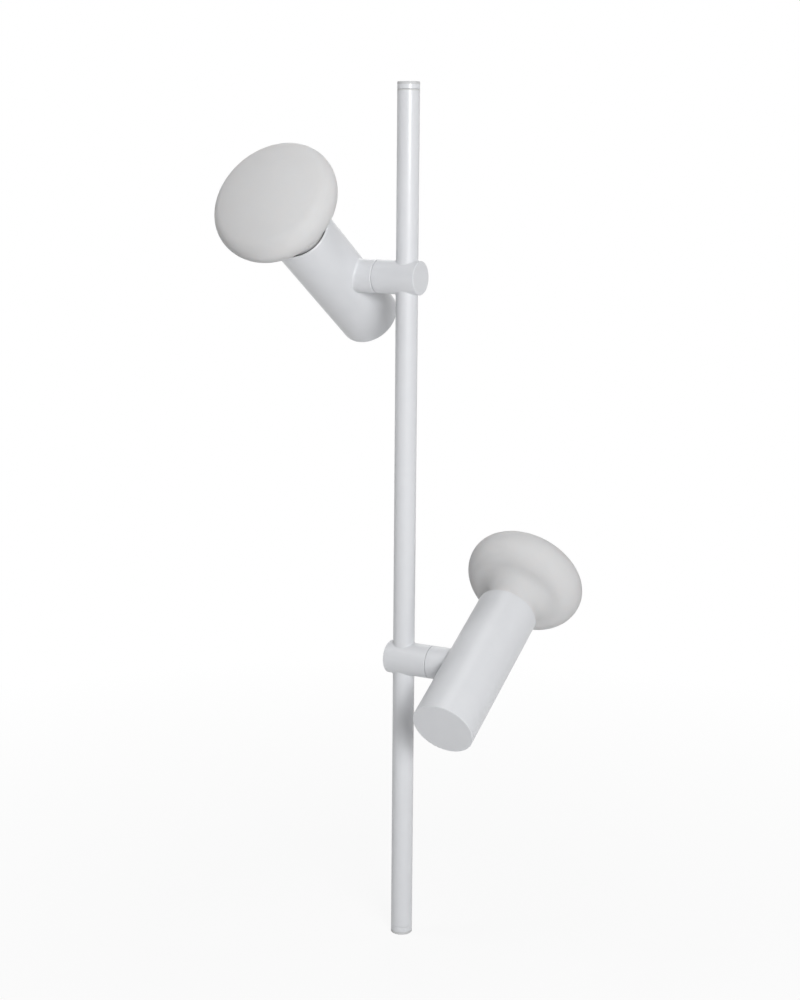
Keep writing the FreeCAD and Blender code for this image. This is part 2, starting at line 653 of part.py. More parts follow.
def head_shell(name, place):
    """Head tube, closed at the tail, with the wire hole in its side and two ring grooves."""
    outer = "head_diameter / 2"
    inner = head_inside
    groove = f"{head_inside} + snap_ring_groove"
    plate_back = f"{sink_face} - sink_plate_thickness"
    body = turned_part(name + "_head_shell", place, [[
        ("0", "-head_tail"),
        (f"{outer} - head_edge_bevel", "-head_tail"),
        (outer, "-head_tail + head_edge_bevel"),
        (outer, f"{mouth} - head_edge_bevel"),
        (f"{outer} - head_edge_bevel", mouth),
        (inner, mouth),
        (inner, f"{sink_face} + snap_ring_thickness"),
        (groove, f"{sink_face} + snap_ring_thickness"),
        (groove, sink_face),
        (inner, sink_face),
        (inner, plate_back),
        (groove, plate_back),
        (groove, f"{plate_back} - snap_ring_thickness"),
        (inner, f"{plate_back} - snap_ring_thickness"),
        (inner, "-head_tail + head_end_thickness"),
        ("0", "-head_tail + head_end_thickness"),
    ]])
    drill(body, "YZ", "0", "head_diameter", stub_bore)


def driver(name, place):
    """Potted round driver on a foam pad in the tail of the head."""
    radius = f"({head_inside} - driver_gap)"
    floor = "(head_end_thickness - head_tail)"
    turned_part(name + "_driver_pad", place, [[
        ("0", floor),
        (f"{radius} - driver_edge_bevel", floor),
        (f"{radius} - driver_edge_bevel", f"{floor} + driver_pad_thickness"),
        ("0", f"{floor} + driver_pad_thickness"),
    ]])
    low = f"({floor} + driver_pad_thickness)"
    high = f"({low} + driver_height)"
    turned_part(name + "_driver", place, [[
        ("0", low),
        (f"{radius} - driver_edge_bevel", low),
        (radius, f"{low} + driver_edge_bevel"),
        (radius, f"{high} - driver_edge_bevel"),
        (f"{radius} - driver_edge_bevel", high),
        ("0", high),
    ]])


def heat_sink(name, place):
    """Aluminium heat sink: a plate across the tube, a core and radial fins behind it."""
    back = f"{sink_face} - sink_plate_thickness"
    low = f"{sink_face} - sink_height"
    body = turned_part(name + "_heat_sink", place, [[
        ("0", low),
        ("sink_core_diameter / 2", low),
        ("sink_core_diameter / 2", back),
        (f"{head_inside} - fit_gap", back),
        (f"{head_inside} - fit_gap", sink_face),
        ("0", sink_face),
    ]])
    fin = new_sketch(body, "XY", low)
    draw_outline(fin, [
        ("sink_core_diameter / 4", "-sink_fin_thickness / 2"),
        (f"{head_inside} - fin_gap", "-sink_fin_thickness / 2"),
        (f"{head_inside} - fin_gap", "sink_fin_thickness / 2"),
        ("sink_core_diameter / 4", "sink_fin_thickness / 2"),
    ])
    fin_pad = pad(body, fin, "sink_height - sink_plate_thickness / 2")
    fins = body.newObject("PartDesign::PolarPattern", body.Label + "_fins")
    fins.Originals = [fin_pad]
    fins.Axis = (fin, ["N_Axis"])
    fins.Angle = 360
    fins.setExpression("Occurrences", formula("sink_fin_count"))
    body.Tip = fins
    holes = new_sketch(body, "XY", f"{sink_face} - board_screw_depth - tap_spare")
    board_circles(holes, "board_screw_diameter + 2 * seat_gap")
    pocket(body, holes, "board_screw_depth + 2 * tap_spare", backwards=True)


def board_circles(sketch, diameter):
    for turn in (90, 210, 330):
        draw_circle(sketch, diameter, f"({board_radius} - board_screw_inset) * cos({turn})",
                    f"({board_radius} - board_screw_inset) * sin({turn})")


def snap_rings(name, place):
    """Two retaining rings in the head tube's grooves, either side of the heat sink's plate."""
    outer = f"{head_inside} + snap_ring_groove - seat_gap"
    inner = f"{outer} - snap_ring_width"
    plate_back = f"{sink_face} - sink_plate_thickness"
    turned_part(name + "_snap_rings", place, [[
        (inner, sink_face),
        (outer, sink_face),
        (outer, f"{sink_face} + snap_ring_thickness"),
        (inner, f"{sink_face} + snap_ring_thickness"),
    ], [
        (inner, plate_back),
        (outer, plate_back),
        (outer, f"{plate_back} - snap_ring_thickness"),
        (inner, f"{plate_back} - snap_ring_thickness"),
    ]])


def light_source(name, place):
    """Round board with its phosphor disc and three screws into the heat sink."""
    board = new_body(name + "_led_board")
    disc = new_sketch(board, "XY", sink_face)
    draw_circle(disc, f"2 * {board_radius}")
    board_circles(disc, "board_screw_diameter + 2 * fit_gap")
    pad(board, disc, "board_thickness")
    board.Placement = place
    turned_part(name + "_led_emitter", place, [[
        ("0", f"{sink_face} + board_thickness"),
        ("emitter_diameter / 2", f"{sink_face} + board_thickness"),
        ("emitter_diameter / 2", f"{sink_face} + board_thickness + emitter_thickness"),
        ("0", f"{sink_face} + board_thickness + emitter_thickness"),
    ]])
    screws = new_body(name + "_board_screws")
    screws.AllowCompound = True
    heads = new_sketch(screws, "XY", f"{sink_face} + board_thickness")
    board_circles(heads, "board_screw_head_diameter")
    pad(screws, heads, "board_screw_head_height")
    shanks = new_sketch(screws, "XY", f"{sink_face} + board_thickness")
    board_circles(shanks, "board_screw_diameter")
    pad(screws, shanks, "board_thickness + board_screw_depth", backwards=True)
    screws.Placement = place


def gasket(name, place):
    """Silicone ring in the head's mouth: the glass neck stands on its lip."""
    outer = f"{head_inside} - seat_gap"
    inner = f"{neck_radius} + seat_gap"
    low = f"({sink_face} + snap_ring_thickness)"
    high = f"({mouth} - gasket_recess)"
    lip = f"{neck_radius} - glass_wall"
    turned_part(name + "_gasket", place, [[
        (lip, low),
        (outer, low),
        (outer, high),
        (inner, high),
        (inner, f"{mouth} - neck_depth"),
        (lip, f"{mouth} - neck_depth"),
    ]])


def diffuser(name, place):
    """Blown opal glass: a neck, a hollow bend, and a bulb with a full back and a shallow dome."""
    body = new_body(name + "_diffuser")
    section = new_sketch(body, "XZ")
    outer_skin(section)
    inner_skin(section)
    revolve(body, section, "V_Axis")
    body.Placement = place


def outer_skin(sketch):
    """Outside of the glass, as one run of tangent curves from the neck's end to the axis.

    A line goes up the neck and a hollow arc bends it out to the bulb. The bulb is one arc for its
    back, one for the edge of its front, which meet at the widest place, and the dome's arc about
    the axis.
    """
    top = size("head_length") - size("head_tail")
    neck = size("head_diameter") / 2 - size("head_wall") - size("gasket_wall")
    bend, back = size("neck_bend_radius"), size("bulb_back_radius")
    edge, span = size("bulb_front_radius"), size("front_height")
    wide, wide_z = size("glass_diameter") / 2, top + size("bulb_height")
    crown = wide_z + span
    # the hollow arc and the back touch on the line between their centres
    across = neck + bend - (wide - back)
    drop = math.sqrt((bend + back) ** 2 - across ** 2)
    # the dome's arc goes through the crown and touches the front's edge
    edge_x = wide - edge
    dome = (edge_x ** 2 + span ** 2 - edge ** 2) / (2 * (span - edge))
    touch = math.atan2(wide_z - crown + dome, edge_x)
    start, end, centre = 1, 2, 3
    line = Part.LineSegment(Vector(neck, top - size("neck_depth"), 0),
                            Vector(neck, wide_z - drop, 0))
    curves = [sketch.addGeometry(line, False)]
    for x, z, radius, low, high in (
            (neck + bend, wide_z - drop, bend, math.atan2(drop, -across), math.pi),
            (wide - back, wide_z, back, math.atan2(-drop, across), 0),
            (edge_x, wide_z, edge, 0, touch),
            (0, crown - dome, dome, touch, math.pi / 2)):
        circle = Part.Circle(Vector(x, z, 0), Vector(0, 0, 1), radius)
        curves.append(sketch.addGeometry(Part.ArcOfCircle(circle, low, high), False))
    neck_line, hollow, full, front, top_arc = curves
    for one, its, other, theirs in ((neck_line, end, hollow, end), (hollow, start, full, start),
                                    (full, end, front, start), (front, end, top_arc, start)):
        sketch.addConstraint(Sketcher.Constraint("Tangent", one, its, other, theirs))
    fix_point(sketch, neck_line, start, neck_radius, f"{mouth} - neck_depth")
    fix_point(sketch, full, centre, "glass_diameter / 2 - bulb_back_radius", widest)
    fix_point(sketch, top_arc, end, "0", f"{widest} + front_height")
    for element, text, now in ((hollow, "neck_bend_radius", bend),
                               (full, "bulb_back_radius", back),
                               (front, "bulb_front_radius", edge)):
        number = sketch.addConstraint(Sketcher.Constraint("Radius", element, now))
        sketch.setExpression(f"Constraints[{number}]", formula(text))
    for kind, element, point, text, now in (("DistanceX", neck_line, end, neck_radius, neck),
                                            ("DistanceY", front, centre, widest, wide_z),
                                            ("DistanceX", top_arc, centre, "0", 0.0)):
        number = sketch.addConstraint(Sketcher.Constraint(kind, -1, 1, element, point, now))
        sketch.setExpression(f"Constraints[{number}]", formula(text))


def inner_skin(sketch):
    """Inside of the glass in straight lines, nowhere nearer to the outside than the wall.

    It runs from the neck's end to the axis and closes the section at both ends. Its corners lie
    on the wall's inner curve or inside the material, so the glass is a little thicker between
    them, as where it is blown into a mould.
    """
    crown = f"({widest} + front_height)"
    back_x = "(glass_diameter / 2 - bulb_back_radius)"
    edge_x = "(glass_diameter / 2 - bulb_front_radius)"
    reach = "(neck_bend_radius + bulb_back_radius)"
    bend_z = f"({widest} - sqrt({reach} ^ 2 - ({neck_radius} + neck_bend_radius - {back_x}) ^ 2))"
    bend = "(neck_bend_radius + glass_wall)"
    back = "(bulb_back_radius - glass_wall)"
    edge = "(bulb_front_radius - glass_wall)"
    corners = [
        (neck_radius, f"{mouth} - neck_depth"),
        (f"{neck_radius} - glass_wall", f"{mouth} - neck_depth"),
        (f"{neck_radius} - glass_wall", f"{bend_z} + {bend} * tan(22.5)"),
        (f"{neck_radius} + neck_bend_radius - {bend} * tan(22.5)", f"{bend_z} + {bend}"),
        (f"{back_x} + {back} * cos(45)", f"{widest} - {back} * sin(45)"),
        (f"{back_x} + {back}", widest),
        (f"{edge_x} + {edge} * cos(45)", f"{widest} + {edge} * sin(45)"),
        (f"{edge_x} / 2", f"{crown} - glass_wall - front_height / 8"),
        ("0", f"{crown} - glass_wall"),
        ("0", crown),
    ]
    first = sketch.GeometryCount
    for i in range(len(corners) - 1):
        line = Part.LineSegment(Vector(i, i % 2, 0), Vector(i + 1, (i + 1) % 2, 0))
        sketch.addGeometry(line, False)
    for i, (across, up) in enumerate(corners[:-1]):
        fix_point(sketch, first + i, 1, across, up)
    for i in range(len(corners) - 2):
        sketch.addConstraint(Sketcher.Constraint("Coincident", first + i, 2, first + i + 1, 1))
    fix_point(sketch, first + len(corners) - 2, 2, *corners[-1])


# ---- the whole lamp ----
foot_pad()
levelling_foot()
foot_nut()
pole_tube()
cord_grommet()
spring_seat()
seat_rivet()
tension_spring()
plunger_guide()
ceiling_plunger()
ceiling_pad()
plunger_collar()
collar_screw()
for name, turn in (("lower", 0), ("upper", 180)):
    at_arm = FreeCAD.Placement(Vector(0, 0, size(name + "_arm_height")),
                               FreeCAD.Rotation(Vector(0, 0, 1), turn))
    lean = FreeCAD.Rotation(Vector(1, 0, 0), -size(name + "_head_lean"))
    at_head = at_arm * FreeCAD.Placement(Vector(head_place, 0, 0), lean)
    fixed_arm(name, at_arm)
    tilt_joint(name, at_arm)
    head_stub(name, at_head)
    head_shell(name, at_head)
    driver(name, at_head)
    heat_sink(name, at_head)
    snap_rings(name, at_head)
    light_source(name, at_head)
    gasket(name, at_head)
    diffuser(name, at_head)
document.recompute()

# ---- check and write ----
for item in document.Objects:
    if "Invalid" in item.State or "Error" in item.State:
        raise RuntimeError(f"{item.Label} failed: {item.State}")
os.makedirs("parts", exist_ok=True)
for subpart in subparts:
    shape = subpart.Shape
    if shape.isNull() or not shape.isValid():
        raise RuntimeError(f"{subpart.Label} has no valid shape")
    shape.exportStep(f"parts/{subpart.Label}.step")
print(len(subparts), "sub-parts written")
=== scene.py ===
# %% [markdown]
# # A tension pole lamp, finished in Blender
# The lamp is a slim white pole that wedges between floor and ceiling. Two short round arms are
# welded to it on opposite sides. Each arm carries a tubular spot head that tilts about the arm
# and ends in an opal glass mushroom.
#
# The construction model comes in first, as a fixed frame. Its sizes stay as they are. In Blender
# the lamp gets what a construction model lacks: glass as it is blown, a wound spring, finishes
# with their fine grain, a photographer's light and a camera.

# %% Load the construction model
import math

import bpy
from mathutils import Matrix, Vector


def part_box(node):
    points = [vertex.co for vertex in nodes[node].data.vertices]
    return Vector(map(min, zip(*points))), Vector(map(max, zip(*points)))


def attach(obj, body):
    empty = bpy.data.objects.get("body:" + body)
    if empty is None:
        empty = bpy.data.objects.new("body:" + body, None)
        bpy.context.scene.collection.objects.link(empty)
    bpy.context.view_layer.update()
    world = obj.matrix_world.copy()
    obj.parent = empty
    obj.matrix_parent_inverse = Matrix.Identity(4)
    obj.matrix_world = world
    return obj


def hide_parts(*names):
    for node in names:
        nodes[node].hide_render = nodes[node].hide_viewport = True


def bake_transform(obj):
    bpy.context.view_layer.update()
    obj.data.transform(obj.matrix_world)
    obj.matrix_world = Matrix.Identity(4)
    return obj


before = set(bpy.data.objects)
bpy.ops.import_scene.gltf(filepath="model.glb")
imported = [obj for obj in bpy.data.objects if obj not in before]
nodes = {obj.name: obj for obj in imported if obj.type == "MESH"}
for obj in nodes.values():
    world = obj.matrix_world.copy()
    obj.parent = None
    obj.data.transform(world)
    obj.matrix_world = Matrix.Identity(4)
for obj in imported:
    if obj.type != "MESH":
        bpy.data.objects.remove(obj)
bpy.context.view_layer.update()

# %% [markdown]
# ## The camera
# The picture is taken from a little above the lamp's middle, about two metres away, with a
# fairly long lens, so the pole's sides stay nearly parallel. A camera could be turned by three
# angles. Three directions are easier to read and to check: where it looks, which way is its
# right, and which way is its up. They are the columns of its turning matrix.

# %% Camera
CAMERA_PLACE = (0.95559, -1.78528, 0.90789)
LOOKS = Vector((-0.466140, 0.864876, -0.186289))
RIGHT = Vector((0.879540, 0.475758, 0.007960))
UP = RIGHT.cross(LOOKS)
camera = bpy.data.objects.new("camera", bpy.data.cameras.new("camera"))
bpy.context.collection.objects.link(camera)
camera.data.sensor_width = 36
camera.data.lens = 64.98
camera.data.clip_end = 100
turned = Matrix((RIGHT, UP, -LOOKS)).transposed().to_4x4()
camera.matrix_world = Matrix.Translation(CAMERA_PLACE) @ turned
bpy.context.scene.camera = camera
print("camera at", [round(v, 3) for v in camera.matrix_world.translation], "metres")

# %% [markdown]
# ## Working by hand, in code
# An operator acts on whatever is selected, so a step that forgets an old selection changes the
# wrong piece. These helpers clear the selection, take up one piece, pick points by their place
# as a hand would with the mouse, and leave a clean skin at the end.

# %% Helpers for modelling
MM = 0.001


def start_fresh():
    """Nothing selected and no piece active."""
    if bpy.context.object and bpy.context.object.mode != "OBJECT":
        bpy.ops.object.mode_set(mode="OBJECT")
    bpy.ops.object.select_all(action="DESELECT")


def work_on(piece):
    """This piece alone is selected and active."""
    start_fresh()
    piece.select_set(True)
    bpy.context.view_layer.objects.active = piece


def pick_points(piece, wanted):
    """In edit mode, selects the points whose place passes a test, and says how many."""
    bpy.ops.mesh.select_all(action="DESELECT")
    bpy.ops.object.mode_set(mode="OBJECT")
    count = 0
    for point in piece.data.vertices:
        point.select = wanted(point.co)
        count += point.select
    bpy.ops.object.mode_set(mode="EDIT")
    return count


def put_in_place(piece, matrix):
    """Moves the mesh itself, so the object stays at the origin, unturned."""
    work_on(piece)
    piece.matrix_world = matrix
    bpy.ops.object.transform_apply(location=True, rotation=True, scale=True)


def tidy_skin(piece, smooth_below=40):
    """Joins doubled points, turns the faces outwards and shades the soft curves smooth."""
    work_on(piece)
    bpy.ops.object.mode_set(mode="EDIT")
    bpy.ops.mesh.select_all(action="SELECT")
    bpy.ops.mesh.remove_doubles(threshold=0.00001)
    bpy.ops.mesh.normals_make_consistent(inside=False)
    bpy.ops.object.mode_set(mode="OBJECT")
    bpy.ops.object.shade_smooth_by_angle(angle=math.radians(smooth_below))
    print(piece.name, len(piece.data.polygons), "faces")


# %% [markdown]
# ## The outline of the opal glass
# The real glass is blown into a mould. A straight neck stands in the head's mouth. A hollow bend
# leads out to a full, rounded back, and the front closes in a shallow dome. Half of its section
# is one run of curves that touch without a corner: a line, the hollow arc, the back's arc, the
# arc of the front's edge, and the dome's arc about the axis.
#
# The outline could be drawn as a Bezier curve, but then its bends would be judged by eye. Arcs
# are kept by their radii, which are the construction model's own, so the glass stays true to it.

# %% Outline of the glass, as radius and distance from the arm's axis
HEAD_MOUTH = 95 * MM
NECK_RADIUS = 30 * MM
NECK_IN_HEAD = 13 * MM
NECK_BEND = 22 * MM
BULB_RADIUS = 71 * MM
BULB_BACK = 28 * MM
BULB_EDGE = 19 * MM
WIDEST = HEAD_MOUTH + 57 * MM
FRONT_RISE = 28 * MM
GLASS_WALL = 3 * MM
ARC_STEPS = 12
BACK_STEPS = 20


def arc_points(centre, radius, start, end, steps):
    """Points along an arc, from one angle to another, without its first."""
    angles = [start + (end - start) * step / steps for step in range(1, steps + 1)]
    return [(centre[0] + radius * math.cos(a), centre[1] + radius * math.sin(a)) for a in angles]


def glass_outline():
    """The glass's outside from the neck's end to the middle of its front."""
    across = NECK_RADIUS + NECK_BEND - (BULB_RADIUS - BULB_BACK)
    drop = math.sqrt((NECK_BEND + BULB_BACK) ** 2 - across ** 2)
    edge_x = BULB_RADIUS - BULB_EDGE
    dome = (edge_x ** 2 + FRONT_RISE ** 2 - BULB_EDGE ** 2) / (2 * (FRONT_RISE - BULB_EDGE))
    crown = WIDEST + FRONT_RISE
    touch = math.atan2(WIDEST - crown + dome, edge_x)
    bend_start = WIDEST - drop
    points = [(NECK_RADIUS, HEAD_MOUTH - NECK_IN_HEAD), (NECK_RADIUS, HEAD_MOUTH),
              (NECK_RADIUS, bend_start)]
    points += arc_points((NECK_RADIUS + NECK_BEND, bend_start), NECK_BEND, math.pi,
                         math.atan2(drop, -across), ARC_STEPS)
    points += arc_points((BULB_RADIUS - BULB_BACK, WIDEST), BULB_BACK,
                         math.atan2(-drop, across), 0, BACK_STEPS)
    points += arc_points((edge_x, WIDEST), BULB_EDGE, 0, touch, ARC_STEPS)
    points += arc_points((0, crown - dome), dome, touch, math.pi / 2, ARC_STEPS)
    return points


outline = glass_outline()
print(len(outline), "points, widest", round(max(r for r, _ in outline) / MM, 1), "mm")

# %% [markdown]
# ## Blowing the glass
# The glass is made as it would be on a pipe, ring after ring. A circle is the neck's cut end. It
# is extruded along the axis and resized to the outline's next radius, over and over, until the
# last ring shrinks to a point at the crown. A spin of the outline would give the same skin. This
# way no seam has to be joined, because the circle is closed from the start.
#
# The wall is 3 mm thick everywhere. A Solidify modifier grows it inwards from the skin, and a
# small bevel rounds the cut end, where the glass was cracked off the pipe and fire polished.

# %% Opal glass
POINTS_AROUND = 128
FIRE_POLISH = 0.7 * MM


def blow_glass(name):
    """The glass upright, its axis on Z and the arm's axis at the origin."""
    start_fresh()
    radius, height = outline[0]
    bpy.ops.mesh.primitive_circle_add(vertices=POINTS_AROUND, radius=radius,
                                      location=(0, 0, height))
    piece = bpy.context.object
    piece.name = name
    bpy.ops.object.transform_apply(location=True)
    bpy.ops.object.mode_set(mode="EDIT")
    bpy.ops.mesh.select_all(action="SELECT")
    for next_radius, next_height in outline[1:-1]:
        bpy.ops.mesh.extrude_region_move(
            TRANSFORM_OT_translate={"value": (0, 0, next_height - height)})
        share = next_radius / radius
        bpy.ops.transform.resize(value=(share, share, 1), center_override=(0, 0, next_height))
        radius, height = next_radius, next_height
    crown = outline[-1][1]
    bpy.ops.mesh.extrude_region_move(TRANSFORM_OT_translate={"value": (0, 0, crown - height)})
    bpy.ops.mesh.merge(type="CENTER")
    bpy.ops.object.mode_set(mode="OBJECT")
    tidy_skin(piece)
    wall = piece.modifiers.new("wall", "SOLIDIFY")
    wall.thickness = GLASS_WALL
    wall.offset = -1
    wall.use_even_offset = True
    bpy.ops.object.modifier_apply(modifier=wall.name)
    return piece


def polish_cut_end(piece):
    """Rounds the two edges of the neck's cut end."""
    work_on(piece)
    bpy.ops.object.mode_set(mode="EDIT")
    bpy.ops.mesh.select_mode(type="VERT")
    found = pick_points(piece, lambda p: abs(p.z - outline[0][1]) < 0.2 * MM)
    bpy.ops.mesh.select_mode(type="EDGE")
    bpy.ops.mesh.bevel(offset=FIRE_POLISH, segments=3, affect="EDGES")
    bpy.ops.mesh.select_mode(type="VERT")
    bpy.ops.object.mode_set(mode="OBJECT")
    print("points on the cut end", found)


# %% [markdown]
# ## Standing each glass in its head
# The two heads are the same model, so the glass is made once and copied with a mesh of its own.
# Each copy is turned to its head's lean and moved to its arm. The move goes into the mesh, and
# the object stays at the origin, as the construction model's own pieces do.

# %% Two glasses
LOWER_HEAD = Vector((0.093, 0, 0.3375))
UPPER_HEAD = Vector((-0.093, 0, 0.7765))
LOWER_LEAN = math.radians(-59.5)
UPPER_LEAN = math.radians(-56.5)
HEADS = {
    "lower": Matrix.Translation(LOWER_HEAD) @ Matrix.Rotation(LOWER_LEAN, 4, "X"),
    "upper": (Matrix.Translation(UPPER_HEAD) @ Matrix.Rotation(math.pi, 4, "Z")
              @ Matrix.Rotation(UPPER_LEAN, 4, "X")),
}
first_glass = blow_glass("lower_opal_glass")
polish_cut_end(first_glass)
glasses = {"lower": first_glass, "upper": first_glass.copy()}
glasses["upper"].data = first_glass.data.copy()
glasses["upper"].name = "upper_opal_glass"
bpy.context.collection.objects.link(glasses["upper"])
for name, glass in glasses.items():
    put_in_place(glass, HEADS[name])
    tidy_skin(glass)
    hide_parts(name + "_diffuser")
    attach(glass, name + "_head")

# %% [markdown]
# ## The tension spring
# A spring inside the pole's upper end presses the lamp against the ceiling. The construction
# model keeps only the room that it fills. The real spring is wound from 2.4 mm wire in sixteen
# turns, which gives about 4 newtons per millimetre at this width.
#
# Blender's Screw modifier winds a wire's section up an axis at an even pitch. A curve bevelled
# to the wire's thickness would do as well, but its points would have to be worked out one by
# one. The two cut ends are closed with a face each, so the spring is a solid piece. It crosses
# the sliding joint of the plunger, and is wound once, at the length of the room it is given.

# %% Tension spring
WIRE = 2.4 * MM
SPRING_RADIUS = 9.8 * MM
TURNS = 16
POINTS_ROUND_WIRE = 12
STEPS_PER_TURN = 28


def wind_spring():
    """The spring, wound into the room that the construction model leaves for it."""
    low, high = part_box("tension_spring")
    start_fresh()
    bpy.ops.mesh.primitive_circle_add(vertices=POINTS_ROUND_WIRE, radius=WIRE / 2,
                                      rotation=(math.pi / 2, 0, 0),
                                      location=(SPRING_RADIUS - WIRE / 2, 0, 0))
    spring = bpy.context.object
    spring.name = "tension_spring_coil"
    bpy.ops.object.transform_apply(location=True, rotation=True)
    winding = spring.modifiers.new("winding", "SCREW")
    winding.axis = "Z"
    winding.steps = winding.render_steps = STEPS_PER_TURN
    winding.iterations = TURNS
    winding.screw_offset = (high[2] - low[2] - WIRE) / TURNS
    bpy.ops.object.modifier_apply(modifier=winding.name)
    bpy.ops.object.mode_set(mode="EDIT")
    bpy.ops.mesh.select_all(action="DESELECT")
    bpy.ops.mesh.select_non_manifold()
    bpy.ops.mesh.edge_face_add()
    bpy.ops.object.mode_set(mode="OBJECT")
    put_in_place(spring, Matrix.Translation((0, 0, low[2] + WIRE / 2)))
    tidy_skin(spring, 60)
    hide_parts("tension_spring")
    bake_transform(spring)
    return spring


spring = wind_spring()
print("spring", [round(v / MM, 1) for v in spring.dimensions], "mm")

# %% [markdown]
# ## Building a finish
# A painted, moulded or plated surface is never one flat colour. Seen close, its tone wanders a
# little, its gloss changes from place to place, and its skin has a fine relief. Each finish here
# is made of those three, from noise over the piece's own coordinates in metres. The noise could
# come from a painted picture, but then it would have to be wrapped round every piece. Object
# coordinates need no wrapping, and the grain has the same size on every piece.

# %% Helpers for finishes


def new_finish(name):
    """A finish with its node tree and its main shader."""
    finish = bpy.data.materials.new(name)
    finish.use_nodes = True
    return finish, finish.node_tree, finish.node_tree.nodes["Principled BSDF"]


def grain(tree, size, detail=2.0, stretch=(1, 1, 1)):
    """Noise with spots of about the given size in metres."""
    where = tree.nodes.new("ShaderNodeTexCoord")
    shaped = tree.nodes.new("ShaderNodeMapping")
    shaped.inputs["Scale"].default_value = stretch
    noise = tree.nodes.new("ShaderNodeTexNoise")
    noise.inputs["Scale"].default_value = 1 / size
    noise.inputs["Detail"].default_value = detail
    tree.links.new(where.outputs["Object"], shaped.inputs["Vector"])
    tree.links.new(shaped.outputs["Vector"], noise.inputs["Vector"])
    return noise.outputs["Fac"]


def between(tree, factor, low, high):
    """Spreads noise, which stays near a half, over the values from low to high."""
    spread = tree.nodes.new("ShaderNodeMapRange")
    spread.inputs["From Min"].default_value = 0.3
    spread.inputs["From Max"].default_value = 0.7
    spread.inputs["To Min"].default_value = low
    spread.inputs["To Max"].default_value = high
    tree.links.new(factor, spread.inputs["Value"])
    return spread.outputs["Result"]


def two_tones(tree, factor, first, second):
    """A colour that wanders between two tones."""
    mix = tree.nodes.new("ShaderNodeMix")
    mix.data_type = "RGBA"
    mix.inputs["A"].default_value = (*first, 1)
    mix.inputs["B"].default_value = (*second, 1)
    tree.links.new(between(tree, factor, 0, 1), mix.inputs["Factor"])
    return mix.outputs["Result"]


def relief(tree, shader, heights, depth):
    """A fine relief in the surface, its depth in metres."""
    bump = tree.nodes.new("ShaderNodeBump")
    bump.inputs["Distance"].default_value = depth
    tree.links.new(heights, bump.inputs["Height"])
    tree.links.new(bump.outputs["Normal"], shader.inputs["Normal"])


# %% [markdown]
# ## White powder coat
# Pole, arms and heads are powder coated in one batch. The powder melts into a cool white skin
# with a satin gloss and a very fine orange peel: dimples under a millimetre across and a few
# thousandths of a millimetre deep. A thin clear coat over a rougher base gives the soft streak
# of light along the tubes without making them shine like glass.

# %% Powder coat


def powder_coat(name, tone, shade):
    """A satin paint with a fine orange peel under a thin clear coat."""
    finish, tree, shader = new_finish(name)
    colour = two_tones(tree, grain(tree, 18 * MM, 3), tone, shade)
    tree.links.new(colour, shader.inputs["Base Color"])
    tree.links.new(between(tree, grain(tree, 1.2 * MM), 0.38, 0.47), shader.inputs["Roughness"])
    relief(tree, shader, grain(tree, 0.7 * MM, 1), 0.006 * MM)
    shader.inputs["Coat Weight"].default_value = 0.25
    shader.inputs["Coat Roughness"].default_value = 0.16
    return finish


white_coat = powder_coat("white_powder_coat", (0.690, 0.700, 0.722), (0.676, 0.687, 0.710))

# %% [markdown]
# ## Etched opal glass
# Opal glass is milky right through, and its outside is etched to a dull silk. Light enters it,
# spreads sideways in the wall and comes out warmer and softer, which evens out the shading from
# the bulb's bright side to its dark side. Subsurface scattering does this in the shader. A
# transparent glass with a white layer inside would look the same and take far longer to render.

# %% Opal glass finish
opal, tree, shader = new_finish("etched_opal_glass")
colour = two_tones(tree, grain(tree, 40 * MM, 2), (0.725, 0.708, 0.706), (0.712, 0.696, 0.695))
tree.links.new(colour, shader.inputs["Base Color"])
tree.links.new(between(tree, grain(tree, 1.5 * MM), 0.60, 0.70), shader.inputs["Roughness"])
relief(tree, shader, grain(tree, 0.4 * MM, 1), 0.003 * MM)
shader.inputs["Subsurface Weight"].default_value = 0.7
shader.inputs["Subsurface Radius"].default_value = (1.0, 0.9, 0.85)
shader.inputs["Subsurface Scale"].default_value = 0.012
shader.inputs["Specular IOR Level"].default_value = 0.3

# %% [markdown]
# ## Rubber, nylon, metal and the parts inside
# The other pieces are seen at the pole's ends, in the seams or only when the lamp is taken
# apart. Moulded pieces have a dull, slightly mottled skin. Plated and turned metal is smooth and
# mirrors its surroundings, with a fine unevenness left by its making. One function makes them
# all from a tone, a second tone, a gloss, a grain and a depth.

# %% Plain finishes


def plain_finish(name, tone, shade, rough, metal=0.0, size=2.5 * MM, depth=0.01 * MM,
                 stretch=(1, 1, 1)):
    """A bare material: size is that of its mottling, depth that of its relief, in metres."""
    finish, tree, shader = new_finish(name)
    colour = two_tones(tree, grain(tree, size, 3, stretch), tone, shade)
    tree.links.new(colour, shader.inputs["Base Color"])
    gloss = between(tree, grain(tree, size / 2, 2, stretch), rough - 0.06, rough + 0.06)
    tree.links.new(gloss, shader.inputs["Roughness"])
    relief(tree, shader, grain(tree, size / 3, 2, stretch), depth)
    shader.inputs["Metallic"].default_value = metal
    return finish


